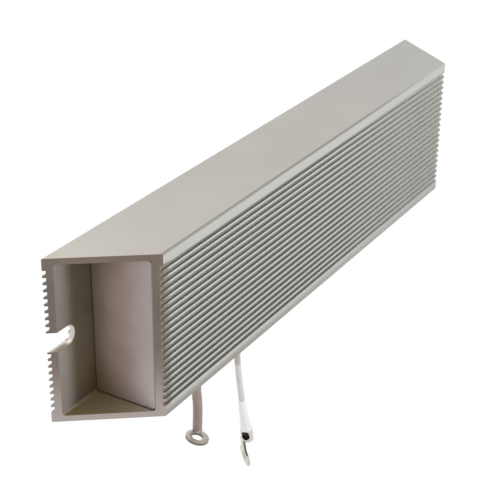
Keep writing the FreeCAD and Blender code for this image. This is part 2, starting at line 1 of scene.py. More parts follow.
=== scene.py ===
"""Braking resistor: finishes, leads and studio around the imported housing.

The housing, the end plates and the terminals are softened copies of their CAD nodes. The leads are
curves, the boot and the beads are worked out here, and the inner pieces keep their CAD shape.
"""

import json
import logging
import math
from abc import ABC, abstractmethod
from dataclasses import dataclass, field, replace
from enum import Enum

import bmesh
import bpy
import numpy as np
from mathutils import Matrix, Vector

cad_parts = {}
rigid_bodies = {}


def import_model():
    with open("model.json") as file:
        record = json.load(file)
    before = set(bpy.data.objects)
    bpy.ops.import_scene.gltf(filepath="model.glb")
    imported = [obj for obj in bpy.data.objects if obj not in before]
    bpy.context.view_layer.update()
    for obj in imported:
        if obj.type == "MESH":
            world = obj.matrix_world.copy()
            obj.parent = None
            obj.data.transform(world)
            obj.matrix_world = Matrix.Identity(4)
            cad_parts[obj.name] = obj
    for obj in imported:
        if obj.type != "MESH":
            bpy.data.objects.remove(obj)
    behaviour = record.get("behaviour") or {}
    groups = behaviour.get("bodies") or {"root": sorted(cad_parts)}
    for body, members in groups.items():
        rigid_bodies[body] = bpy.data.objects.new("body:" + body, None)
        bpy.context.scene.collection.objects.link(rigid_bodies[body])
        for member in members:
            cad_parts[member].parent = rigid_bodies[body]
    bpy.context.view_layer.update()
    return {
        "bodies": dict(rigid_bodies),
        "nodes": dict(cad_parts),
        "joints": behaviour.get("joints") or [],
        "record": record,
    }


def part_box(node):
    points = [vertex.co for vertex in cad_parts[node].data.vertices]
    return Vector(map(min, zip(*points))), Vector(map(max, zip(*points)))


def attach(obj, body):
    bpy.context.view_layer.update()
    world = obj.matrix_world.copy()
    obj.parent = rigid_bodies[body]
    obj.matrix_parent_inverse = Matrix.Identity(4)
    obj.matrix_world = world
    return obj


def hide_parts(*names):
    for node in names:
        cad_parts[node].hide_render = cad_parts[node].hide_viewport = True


Tree = bpy.types.NodeTree
Socket = bpy.types.NodeSocket
Outputs = bpy.types.NodeOutputs

LOG = logging.getLogger("braking_resistor")
MM = 0.001
ROOT = "root"
WHITE = (1.0, 1.0, 1.0, 1.0)
# The direction out of the mounting side.
DEPTH_AXIS = (0.0, 1.0, 0.0)

# The camera fitted to the housing's corners: the picture's width and the focal length in pixels,
# and the sensor's width in millimetres.
IMAGE_WIDTH = 500
FOCAL_PIXELS = 1317.35
SENSOR_WIDTH = 36.0

# Corners of loose triangles closer than this are one corner, and triangles that turn less than
# this are one flat face.
WELD_MM = 0.001
FLAT_ANGLE = math.radians(0.6)
# Edges that turn further than this are rounded on a CAD copy, and stay sharp in the shading.
SHARP_ANGLE = math.radians(32)
# Facets across a rounded edge, and how full it is, where a half is a circle's arc.
EDGE_FACETS = 2
EDGE_FULLNESS = 0.6

# Detail of the noise for soft patches and for grain, and the range that most of its values fill.
PATCH_DETAIL = 3.0
GRAIN_DETAIL = 2.0
NOISE_LOW = 0.3
NOISE_HIGH = 0.7
# The numbers of a colour mix's inputs and of its output.
MIX_AMOUNT, MIX_UNDER, MIX_OVER, MIX_COLOUR = 0, 6, 7, 2


class Region(Enum):
    """The differently finished surfaces of the aluminium shell."""

    OUTSIDE = 0
    SAWN = 1
    INSIDE = 2
    MILLED = 3


class Skin(Enum):
    """The differently finished surfaces of a ring terminal."""

    TINNED = 0
    STAMPED = 1
    DIMPLE_SHADE = 2


def linear(hex_colour: str) -> tuple[float, float, float, float]:
    """Turn an sRGB hex colour into linear RGBA.

    Each channel follows the standard's curve, a straight line near black and a power above it.

    Args:
        hex_colour: six hex digits with a leading hash.

    Returns:
        The linear colour with alpha one.
    """
    channels = [int(hex_colour[k : k + 2], 16) / 255 for k in (1, 3, 5)]
    values = [c / 12.92 if c <= 0.04045 else ((c + 0.055) / 1.055) ** 2.4 for c in channels]
    return (*values, 1.0)


def add_node(
    tree: Tree,
    kind: str,
    settings: dict[str, object] | None = None,
    inputs: dict[str | int, object] | None = None,
) -> bpy.types.Node:
    """Add a shader node.

    Args:
        tree: the material's or world's node tree.
        kind: the shader node's type, without the words that all of them start with.
        settings: the node's own properties by name.
        inputs: values or source sockets by input name or number.

    Returns:
        The new node.
    """
    node = tree.nodes.new(f"ShaderNode{kind}")
    for name, value in (settings or {}).items():
        setattr(node, name, value)
    for name, value in (inputs or {}).items():
        if isinstance(value, Socket):
            tree.links.new(value, node.inputs[name])
        else:
            node.inputs[name].default_value = value
    return node


@dataclass(frozen=True)
class Ramp:
    """A smooth rise from none at one place to full at another, along one axis of the object."""

    axis: str
    none_mm: float
    full_mm: float
    # With a centre, places are measured both ways from it.
    centre_mm: float | None = None

    def build(self, tree: Tree, axes: Outputs) -> Socket:
        """Make the ramp's value, from zero to one.

        Args:
            tree: the material's node tree.
            axes: the object's coordinates in metres.

        Returns:
            The value's socket.
        """
        place = axes[self.axis]
        if self.centre_mm is not None:
            moved = add_node(
                tree, "Math", {"operation": "SUBTRACT"}, {0: place, 1: self.centre_mm * MM}
            ).outputs[0]
            place = add_node(tree, "Math", {"operation": "ABSOLUTE"}, {0: moved}).outputs[0]
        flipped = self.none_mm > self.full_mm
        low, high = sorted((self.none_mm, self.full_mm))
        return add_node(
            tree,
            "MapRange",
            {"interpolation_type": "SMOOTHSTEP"},
            {
                "Value": place,
                "From Min": low * MM,
                "From Max": high * MM,
                "To Min": float(flipped),
                "To Max": float(not flipped),
            },
        ).outputs[0]


@dataclass(frozen=True)
class Tint(ABC):
    """A colour laid over a finish, by an amount that each kind works out from the place."""

    colour: str

    @abstractmethod
    def amount(self, tree: Tree, axes: Outputs) -> Socket | float:
        """How much of the colour shows.

        Args:
            tree: the material's node tree.
            axes: the object's coordinates in metres.

        Returns:
            The amount, from zero to one.
        """

    def build(self, tree: Tree, axes: Outputs, under: Socket) -> Socket:
        """Lay the colour over another.

        Args:
            tree: the material's node tree.
            axes: the object's coordinates in metres.
            under: the colour so far.

        Returns:
            The colour with this one over it.
        """
        amount = self.amount(tree, axes)
        return add_node(
            tree,
            "Mix",
            {"data_type": "RGBA"},
            {MIX_AMOUNT: amount, MIX_UNDER: under, MIX_OVER: linear(self.colour)},
        ).outputs[MIX_COLOUR]


@dataclass(frozen=True)
class Fade(Tint):
    """A colour that takes over where all its ramps are full."""

    strength: float
    ramps: tuple[Ramp, ...]

    def amount(self, tree: Tree, axes: Outputs) -> Socket | float:
        """The strength times every ramp.

        Args:
            tree: the material's node tree.
            axes: the object's coordinates in metres.

        Returns:
            The amount, from zero to the strength.
        """
        amount = self.strength
        for ramp in self.ramps:
            amount = add_node(
                tree, "Math", {"operation": "MULTIPLY"}, {0: amount, 1: ramp.build(tree, axes)}
            ).outputs[0]
        return amount


@dataclass(frozen=True)
class Spot(Tint):
    """A round spot: a colour within a distance of one place."""

    centre_mm: tuple[float, float, float]
    radius_mm: float
    soft_mm: float = 0.15

    def amount(self, tree: Tree, axes: Outputs) -> Socket | float:
        """Full within the radius and none beyond it, with a soft rim.

        Args:
            tree: the material's node tree.
            axes: the object's coordinates in metres.

        Returns:
            The amount, from zero to one.
        """
        place = add_node(
            tree, "CombineXYZ", inputs={name: axes[name] for name in ("X", "Y", "Z")}
        ).outputs[0]
        apart = add_node(
            tree,
            "VectorMath",
            {"operation": "DISTANCE"},
            {0: place, 1: tuple(value * MM for value in self.centre_mm)},
        ).outputs["Value"]
        return add_node(
            tree,
            "MapRange",
            {"interpolation_type": "SMOOTHSTEP"},
            {
                "Value": apart,
                "From Min": (self.radius_mm - self.soft_mm) * MM,
                "From Max": (self.radius_mm + self.soft_mm) * MM,
                "To Min": 1.0,
                "To Max": 0.0,
            },
        ).outputs[0]


@dataclass(frozen=True)
class Finish:
    """One finish: a surface shader with soft tone patches, fine streaks or grain, and a bump."""

    name: str
    colour: str
    shade: str
    roughness: float
    metallic: float = 0.0
    # Size in millimetres of the soft tone patches, and of the fine grain along each axis.
    patch_mm: float = 30.0
    grain_mm: tuple[float, float, float] = (0.5, 0.5, 0.5)
    # How far the grain moves the tone between shade and colour, the roughness and the height.
    grain_tone: float = 0.3
    grain_rough: float = 0.08
    bump_mm: float = 0.01
    sheen: float = 0.0
    # Colour changes over the piece, laid on in order.
    tints: tuple[Tint, ...] = ()

    def build(self) -> bpy.types.Material:
        """Make the node material.

        Returns:
            The material, named for the real one.
        """
        material = bpy.data.materials.new(self.name)
        material.use_nodes = True
        tree = material.node_tree
        tree.nodes.clear()
        place = add_node(tree, "TexCoord").outputs["Object"]
        patches = self.noise(tree, place, (self.patch_mm,) * 3, PATCH_DETAIL)
        grain = self.noise(tree, place, self.grain_mm, GRAIN_DETAIL)
        patch_tone = add_node(
            tree,
            "MapRange",
            inputs={
                "Value": patches,
                "From Min": NOISE_LOW,
                "From Max": NOISE_HIGH,
                "To Max": 1.0 - self.grain_tone,
            },
        ).outputs[0]
        tone = add_node(
            tree,
            "Math",
            {"operation": "MULTIPLY_ADD"},
            {0: grain, 1: self.grain_tone, 2: patch_tone},
        ).outputs[0]
        limited = add_node(tree, "Clamp", inputs={"Value": tone}).outputs[0]
        colour = add_node(
            tree,
            "Mix",
            {"data_type": "RGBA"},
            {
                MIX_AMOUNT: limited,
                MIX_UNDER: linear(self.shade),
                MIX_OVER: linear(self.colour),
            },
        ).outputs[MIX_COLOUR]
        axes = add_node(tree, "SeparateXYZ", inputs={0: place}).outputs
        for tint in self.tints:
            colour = tint.build(tree, axes, colour)
        rough = add_node(
            tree,
            "MapRange",
            inputs={
                "Value": grain,
                "To Min": self.roughness - self.grain_rough,
                "To Max": self.roughness + self.grain_rough,
            },
        ).outputs[0]
        bump = add_node(
            tree,
            "Bump",
            inputs={
                "Height": self.relief(tree, place, grain),
                "Distance": self.bump_mm * MM,
                "Strength": 1.0,
            },
        ).outputs[0]
        shader = add_node(
            tree,
            "BsdfPrincipled",
            inputs={
                "Base Color": colour,
                "Metallic": self.metallic,
                "Roughness": rough,
                "Normal": bump,
                "Sheen Weight": self.sheen,
            },
        )
        add_node(tree, "OutputMaterial", inputs={"Surface": shader.outputs[0]})
        return material

    def noise(
        self, tree: Tree, place: Socket, size_mm: tuple[float, float, float], detail: float
    ) -> Socket:
        """Noise whose cells have the given size.

        Args:
            tree: the material's node tree.
            place: the object's coordinates in metres.
            size_mm: the cells' size along X, Y and Z.
            detail: how many finer layers lie over the coarse one.

        Returns:
            The noise's value.
        """
        scaled = add_node(
            tree,
            "Mapping",
            inputs={"Vector": place, "Scale": tuple(1.0 / (size * MM) for size in size_mm)},
        ).outputs[0]
        return add_node(
            tree, "TexNoise", inputs={"Vector": scaled, "Scale": 1.0, "Detail": detail}
        ).outputs[0]

    def relief(self, tree: Tree, place: Socket, grain: Socket) -> Socket:
        """The height that the bump reads: the grain, unless a finish overrides this.

        Args:
            tree: the material's node tree.
            place: the object's coordinates in metres.
            grain: the grain's value.

        Returns:
            The height, from none to one.
        """
        return grain


@dataclass(frozen=True)
class BraidedFinish(Finish):
    """Varnished woven sleeving: two sets of yarns wound round the lead in opposite senses."""

    # The lead's axis across the housing, the waves round it, and their length along it.
    axis_mm: tuple[float, float] = (-68.4, -15.0)
    yarns: float = 10.0
    lay_mm: float = 1.3

    def relief(self, tree: Tree, place: Socket, grain: Socket) -> Socket:
        """Height of crossing yarns: the product of two opposite helical waves.

        Args:
            tree: the material's node tree.
            place: the object's coordinates in metres.
            grain: the grain's value, which the weave hides.

        Returns:
            The height.
        """
        centred = add_node(
            tree,
            "VectorMath",
            {"operation": "SUBTRACT"},
            {0: place, 1: (self.axis_mm[0] * MM, self.axis_mm[1] * MM, 0.0)},
        ).outputs[0]
        axes = add_node(tree, "SeparateXYZ", inputs={0: centred}).outputs
        angle = add_node(
            tree, "Math", {"operation": "ARCTAN2"}, {0: axes["Y"], 1: axes["X"]}
        ).outputs[0]
        turned = add_node(
            tree, "Math", {"operation": "MULTIPLY"}, {0: angle, 1: self.yarns}
        ).outputs[0]
        turns = 2 * math.pi / (self.lay_mm * MM)
        along = add_node(
            tree, "Math", {"operation": "MULTIPLY"}, {0: axes["Z"], 1: turns}
        ).outputs[0]
        waves = []
        for operation in ("ADD", "SUBTRACT"):
            phase = add_node(tree, "Math", {"operation": operation}, {0: turned, 1: along}).outputs
            wave = add_node(tree, "Math", {"operation": "SINE"}, {0: phase[0]}).outputs
            waves.append(wave[0])
        return add_node(
            tree, "Math", {"operation": "MULTIPLY"}, {0: waves[0], 1: waves[1]}
        ).outputs[0]


# Where the outside's tones lie: the height of the ribs and the front face, then the grooves and the
# rib tips of both wide faces, the sawn rib ends in front, the plain bands below and above the ribs,
# and the rounded edge over the upper band. The tone moves along the length, and over its last half
# the ribs lose contrast.
RIBBED = Ramp("Z", 26.6, 26.3, centre_mm=0.0)
FRONT_FACE = Ramp("Y", -28.8, -29.9)
IN_GROOVES = (Ramp("Y", 14.97, 14.75, centre_mm=-15.0), RIBBED)
RIB_TIPS = (Ramp("Y", 14.7, 14.95, centre_mm=-15.0), RIBBED)
RIB_ENDS = (Ramp("X", -105.6, -108.4), Ramp("Y", -28.5, -29.0), RIBBED)
LOWER_BAND = (Ramp("Z", -26.4, -28.8), FRONT_FACE)
UPPER_BAND = (Ramp("Z", 26.2, 26.5), FRONT_FACE)
TOP_EDGE = (Ramp("Z", 29.1, 29.6), Ramp("Y", -28.9, -29.6), Ramp("X", 115.0, 20.0))
TO_FAR_END = Ramp("X", -60.0, 120.0)
LAST_HALF = Ramp("X", 5.0, 115.0)
# Natural anodised extrusion: pale, slightly dull, with fine drawing lines along the length.
# The grooves' floors and flanks carry painted shade, the lower band is painted darker as shade,
# the rounded top edge shows a painted line of shade, and the rib ends by the sawn cut are darker
# and browner.
ANODISED = Finish(
    name="natural_anodised_aluminium",
    colour="#bfbcb5",
    shade="#b1aea7",
    roughness=0.45,
    metallic=0.4,
    patch_mm=45.0,
    grain_mm=(60.0, 0.35, 0.35),
    bump_mm=0.012,
    tints=(
        Fade("#a8a7a4", 0.7, (TO_FAR_END,)),
        # Painted shade on the lower band, stronger toward the near end.
        Fade("#84837e", 0.45, LOWER_BAND),
        Fade("#84837e", 0.5, (*LOWER_BAND, Ramp("X", 40.0, -70.0))),
        Fade("#b7b8b3", 0.85, UPPER_BAND),
        # Painted shade: a darker line on the rounded top edge.
        Fade("#8c8984", 0.95, TOP_EDGE),
        Fade("#bcbdb8", 0.8, RIB_TIPS),
        # Painted shade in the grooves. The next two lighten it toward the far end, and the one
        # after darkens the tips over the last half.
        Fade("#84847d", 1.0, IN_GROOVES),
        Fade("#a3a29b", 0.9, (*IN_GROOVES, TO_FAR_END)),
        Fade("#bebdb6", 0.8, (*IN_GROOVES, LAST_HALF)),
        Fade("#868682", 0.8, (*RIB_TIPS, LAST_HALF)),
        # The rib ends by the sawn cut are darker and browner.
        Fade("#857b70", 0.85, RIB_ENDS),
    ),
)
# Sawn bare aluminium: duller than the oxide, and darker and browner, partly the bare cut and
# partly painted shade on the end face, with fine tooth marks down the cut, and painted lighter
# toward its lower end as light bounced up from below.
SAWN = Finish(
    name="sawn_aluminium",
    colour="#82756a",
    shade="#6f6358",
    roughness=0.5,
    metallic=0.4,
    patch_mm=12.0,
    grain_mm=(0.4, 0.4, 9.0),
    bump_mm=0.02,
    # Painted light: lighter toward the lower end, as light bounced up from below.
    tints=(Fade("#b5aaa5", 0.95, (Ramp("Z", -2.0, -31.0),)),),
)
# The extrusion's inside walls: the same oxide, never polished, so it looks dull; its dark, warm
# colour is painted shade of the recess. The back wall is painted lighter near the mouth as lamp
# light, the walls are lighter toward the front wall deeper in, the floor is lighter and more olive,
# and painted shade darkens the plates' foot and the lower back corner.
INSIDE = Finish(
    name="anodised_aluminium_painted_recess_shade",
    colour="#6e6250",
    shade="#635847",
    roughness=0.55,
    metallic=0.3,
    patch_mm=20.0,
    grain_mm=(40.0, 0.5, 0.5),
    tints=(
        # Painted light on the back wall near the mouth.
        Fade("#857d77", 1.0, (Ramp("X", 119.0, 129.5, centre_mm=0.0), Ramp("Y", -4.2, -3.4))),
        # The floor is lighter and more olive.
        Fade("#877a59", 1.0, (Ramp("Z", -27.0, -27.6),)),
        # Lighter toward the front wall, deeper in.
        Fade("#a89c8c", 0.9, (Ramp("Y", -6.0, -27.0), Ramp("X", 128.0, 110.0, centre_mm=0.0))),
        # Painted shade along the plates' foot.
        Fade("#3a1a08", 0.55, (Ramp("X", 112.5, 112.2, centre_mm=0.0), Ramp("Z", -27.2, -27.6))),
        # Painted shade in the lower back corner by the plates.
        Fade(
            "#6a4e22",
            0.6,
            (
                Ramp("X", 119.0, 113.5, centre_mm=0.0),
                Ramp("Y", -4.0, -3.0),
                Ramp("Z", -6.0, -23.0),
            ),
        ),
    ),
)
# Milled slot walls: bright fresh metal with cutter marks, duller on the straight sides.
MILLED = Finish(
    name="milled_aluminium",
    colour="#e2ded6",
    shade="#cdc7bc",
    roughness=0.4,
    metallic=0.4,
    patch_mm=6.0,
    grain_mm=(0.3, 5.0, 0.3),
    tints=(
        Fade("#877a6d", 0.9, (Ramp("X", 123.0, 126.5, centre_mm=0.0), Ramp("Y", -0.2, -1.4))),
    ),
)
# Rolled aluminium sheet of the end plates: soft cloudy streaks from rolling and handling, with
# painted shade toward the back wall and in the lower back corner, painted light toward the front
# wall, and lighter still toward the lower front.
ROLLED = Finish(
    name="rolled_aluminium_sheet",
    colour="#b3a8a1",
    shade="#978a80",
    roughness=0.48,
    metallic=0.35,
    patch_mm=14.0,
    grain_mm=(0.5, 0.5, 22.0),
    grain_tone=0.45,
    bump_mm=0.008,
    tints=(
        # Painted shade toward the back wall.
        Fade("#6b5f4e", 0.55, (Ramp("Y", -13.0, -2.0),)),
        Fade("#a08078", 0.42, (Ramp("Y", -7.5, -12.0), Ramp("Y", -21.0, -15.0))),
        # Painted light toward the front wall.
        Fade("#b0a6a5", 0.6, (Ramp("Y", -18.0, -25.0),)),
        # Lighter toward the lower front.
        Fade("#c6bcbb", 0.5, (Ramp("Z", 5.0, -26.0), Ramp("Y", -14.0, -24.0))),
        # Painted shade in the lower back corner.
        Fade("#7d6033", 0.5, (Ramp("Z", -8.0, -25.0), Ramp("Y", -15.0, -5.0))),
    ),
)
# The plates' cut edges, painted dark as the shade in the seam round them; the same colour also
# serves the hidden insulators.
SEAM = Finish(
    name="seam_shade_and_insulator_brown",
    colour="#40342a",
    shade="#2c231b",
    roughness=0.6,
    patch_mm=6.0,
)
# Joint compound pressed into the seam along the front wall.
COMPOUND = Finish(
    name="joint_compound",
    colour="#a0948c",
    shade="#8c8078",
    roughness=0.7,
    patch_mm=5.0,
    grain_mm=(0.4, 0.4, 1.5),
    bump_mm=0.02,
)
# Silicone rubber insulation: milky white with a soft sheen.
SILICONE = Finish(
    name="white_silicone_rubber",
    colour="#fcfcfc",
    shade="#f8f8f8",
    roughness=0.42,
    patch_mm=5.0,
    grain_mm=(0.4, 0.4, 1.2),
    grain_rough=0.05,
    bump_mm=0.005,
    sheen=0.7,
)
# Grey silicone of lead 2's wire, a little dustier than its boot, beige over its top stretch, and
# with painted shadow on the back of its top where it leaves the housing.
WIRE = Finish(
    name="grey_silicone_rubber",
    colour="#e6e6e4",
    shade="#d6d5d2",
    roughness=0.45,
    patch_mm=8.0,
    grain_mm=(0.3, 0.3, 3.0),
    grain_rough=0.05,
    tints=(
        # Beige over the top stretch.
        Fade("#c4b9ad", 0.9, (Ramp("Z", -52.0, -50.0),)),
        # Painted shadow on the back of the wire's top stretch.
        Fade("#6b5f50", 0.8, (Ramp("Z", -50.0, -46.5), Ramp("Y", -14.9, -14.0))),
    ),
)
# Varnished glass-yarn sleeving: taupe, matt, with a fine crossed weave.
SLEEVING = BraidedFinish(
    name="woven_glass_sleeving",
    colour="#a89a92",
    shade="#92847c",
    roughness=0.65,
    patch_mm=4.0,
    grain_mm=(0.3, 0.3, 0.6),
    bump_mm=0.06,
    sheen=0.15,
)
# Tin-plated copper: bright, slightly warm, with soft handling marks.
TINNED = Finish(
    name="tinned_copper",
    colour="#e0ded7",
    shade="#c6c2b9",
    roughness=0.32,
    metallic=0.55,
    patch_mm=3.0,
    grain_mm=(0.4, 0.4, 0.4),
    grain_tone=0.15,
    bump_mm=0.004,
)
# The terminals' stamped edges, where the bare copper shows brown and dull.
STAMPED = Finish(
    name="stamped_copper_edge",
    colour="#857d6c",
    shade="#5b5445",
    roughness=0.4,
    metallic=0.6,
    patch_mm=2.0,
    grain_mm=(0.3, 0.3, 0.3),
    bump_mm=0.02,
)
# The punched crimp dimple: painted shade, nearly black.
DIMPLE_SHADE = Finish(
    name="painted_dimple_shade",
    colour="#2a231c",
    shade="#15110d",
    roughness=0.75,
    patch_mm=1.0,
    grain_mm=(0.3, 0.3, 0.3),
    bump_mm=0.02,
)
# Pressed mica: layered golden brown with flakes.
MICA = Finish(
    name="pressed_mica",
    colour="#a58b63",
    shade="#7b6544",
    roughness=0.4,
    patch_mm=6.0,
    grain_mm=(1.5, 0.2, 1.5),
    bump_mm=0.02,
    sheen=0.2,
)
# Fired ceramic and the cement fill: chalky and granular.
CERAMIC = Finish(
    name="steatite_ceramic",
    colour="#ded8ca",
    shade="#c9c1b0",
    roughness=0.7,
    patch_mm=8.0,
    grain_mm=(0.4, 0.4, 0.4),
    bump_mm=0.03,
)
# Resistance alloy strip: drawn grey metal with a thin heat oxide.
ALLOY = Finish(
    name="nickel_chrome_strip",
    colour="#8f8b84",
    shade="#6b675f",
    roughness=0.35,
    metallic=1.0,
    patch_mm=5.0,
    grain_mm=(0.2, 0.2, 6.0),
)


def placed(name: str, data: bpy.types.ID) -> bpy.types.Object:
    """Put a mesh, curve, lamp or camera into the scene.

    Args:
        name: the new object's name.
        data: what the object shows.

    Returns:
        The object, at the origin.
    """
    item = bpy.data.objects.new(name, data)
    bpy.context.scene.collection.objects.link(item)
    return item


def smooth(data: bpy.types.Mesh) -> None:
    """Shade a mesh smoothly between its sharp edges."""
    data.shade_smooth()
    data.set_sharp_from_angle(angle=SHARP_ANGLE)


def face_outwards(data: bpy.types.Mesh) -> None:
    """Turn the faces of a closed mesh outwards.

    Args:
        data: the mesh, which changes.
    """
    facing = bmesh.new()
    facing.from_mesh(data)
    bmesh.ops.recalc_face_normals(facing, faces=facing.faces)
    facing.to_mesh(data)
    facing.free()


def softened_copy(node: bpy.types.Object, name: str, edge_mm: float) -> bpy.types.Object:
    """Copy a CAD node, merge its loose triangles to flat faces and round its edges.

    Args:
        node: the CAD node's object, which stays as it is.
        name: the new piece's name.
        edge_mm: width of the rounded edge.

    Returns:
        The new piece, with its place in its mesh.
    """
    mesh = bmesh.new()
    mesh.from_mesh(node.data)
    bmesh.ops.remove_doubles(mesh, verts=mesh.verts, dist=WELD_MM * MM)
    bmesh.ops.dissolve_limit(mesh, angle_limit=FLAT_ANGLE, verts=mesh.verts, edges=mesh.edges)
    sharp = [
        edge
        for edge in mesh.edges
        if len(edge.link_faces) == 2 and edge.calc_face_angle(0.0) > SHARP_ANGLE
    ]
    bmesh.ops.bevel(
        mesh,
        geom=sharp,
        offset=edge_mm * MM,
        segments=EDGE_FACETS,
        profile=EDGE_FULLNESS,
        affect="EDGES",
        clamp_overlap=True,
        offset_type="OFFSET",
    )
    data = bpy.data.meshes.new(name)
    mesh.to_mesh(data)
    mesh.free()
    smooth(data)
    return placed(name, data)


def face_layout(data: bpy.types.Mesh) -> tuple[np.ndarray, np.ndarray]:
    """Each face's place and direction.

    Args:
        data: the mesh.

    Returns:
        The centres in millimetres and the normals, as two arrays of rows.
    """
    count = len(data.polygons)
    centres = np.empty(count * 3)
    normals = np.empty(count * 3)
    data.polygons.foreach_get("center", centres)
    data.polygons.foreach_get("normal", normals)
    return centres.reshape(-1, 3) / MM, normals.reshape(-1, 3)


def around_axis(
    places: np.ndarray, centre: np.ndarray, axis: np.ndarray
) -> tuple[np.ndarray, np.ndarray]:
    """Measure places from an axis.

    Args:
        places: rows of coordinates.
        centre: a place on the axis.
        axis: its unit vector.

    Returns:
        Each place's distance along the axis from the centre, and its distance beside the axis.
    """
    offset = places - centre
    along = offset @ axis
    return along, np.linalg.norm(offset - np.outer(along, axis), axis=1)


def closed_grid(name: str, places: np.ndarray) -> bpy.types.Mesh:
    """A mesh over a grid of places that closes on itself both ways, with its faces outwards.

    Args:
        name: the mesh's name.
        places: an array of rows, columns and coordinates in metres.

    Returns:
        The mesh.
    """
    rows, columns, _ = places.shape
    row, column = np.meshgrid(np.arange(rows), np.arange(columns), indexing="ij")
    below, beside = (row + 1) % rows, (column + 1) % columns
    faces = np.stack(
        [
            row * columns + column,
            row * columns + beside,
            below * columns + beside,
            below * columns + column,
        ],
        axis=-1,
    ).reshape(-1, 4)
    data = bpy.data.meshes.new(name)
    data.from_pydata(places.reshape(-1, 3).tolist(), [], faces.tolist())
    face_outwards(data)
    return data


def dress(piece: bpy.types.Object, *materials: bpy.types.Material) -> None:
    """Give a piece its materials in place of those it has.

    Args:
        piece: the mesh or curve object.
        materials: the new materials in order.
    """
    piece.data.materials.clear()
    for material in materials:
        piece.data.materials.append(material)


@dataclass
class Paints:
    """Every material once, built from its finish."""

    made: dict[str, bpy.types.Material] = field(default_factory=dict)

    def get(self, finish: Finish) -> bpy.types.Material:
        """The material of a finish, made on its first use.

        Args:
            finish: the finish.

        Returns:
            Its material.
        """
        if finish.name not in self.made:
            self.made[finish.name] = finish.build()
        return self.made[finish.name]


@dataclass
class Shell:
    """The extruded housing: the CAD solid with broken edges and four finishes."""

    frame: dict
    paints: Paints
    edge_mm: float = 0.12
    # The cavity's faces lie between the first two in depth, and within the third in height.
    cavity_front_mm: float = -27.25
    cavity_back_mm: float = -2.75
    cavity_half_mm: float = 27.85
    # The slots' walls lie further out than this, and reach this far up, down and inwards.
    slot_zone_mm: float = 118.0
    slot_half_mm: float = 3.6
    slot_inner_mm: float = -3.1
    # A normal leans along an axis by less than the first where its face runs along that axis,
    # and by more than the second where the face is sawn across it.
    level_slope: float = 0.3
    sawn_slope: float = 0.5

    def build(self) -> None:
        """Make the shell and its regions, and put it in the housing node's place."""
        shell = softened_copy(self.frame["nodes"]["housing"], "housing_shell", self.edge_mm)
        dress(shell, *map(self.paints.get, (ANODISED, SAWN, INSIDE, MILLED)))
        shell.data.polygons.foreach_set("material_index", self.regions(shell.data))
        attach(shell, ROOT)
        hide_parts("housing")
        LOG.info("housing shell, %d faces", len(shell.data.polygons))

    def regions(self, data: bpy.types.Mesh) -> np.ndarray:
        """Sort the faces by where they lie and which way they point.

        Args:
            data: the shell's mesh.

        Returns:
            A material number for each face, by Region.
        """
        centres, normals = face_layout(data)
        regions = np.full(len(centres), Region.OUTSIDE.value, np.int32)
        inside = (
            (centres[:, 1] > self.cavity_front_mm)
            & (centres[:, 1] < self.cavity_back_mm)
            & (np.abs(centres[:, 2]) < self.cavity_half_mm)
            & (np.abs(normals[:, 0]) < self.level_slope)
        )
        regions[inside] = Region.INSIDE.value
        sawn = (np.abs(normals[:, 0]) > self.sawn_slope) & (normals[:, 1] < -self.level_slope)
        regions[sawn] = Region.SAWN.value
        milled = (
            (np.abs(centres[:, 0]) > self.slot_zone_mm)
            & (np.abs(centres[:, 2]) < self.slot_half_mm)
            & (centres[:, 1] > self.slot_inner_mm)
            & (np.abs(normals[:, 1]) < self.level_slope)
        )
        regions[milled] = Region.MILLED.value
        return regions


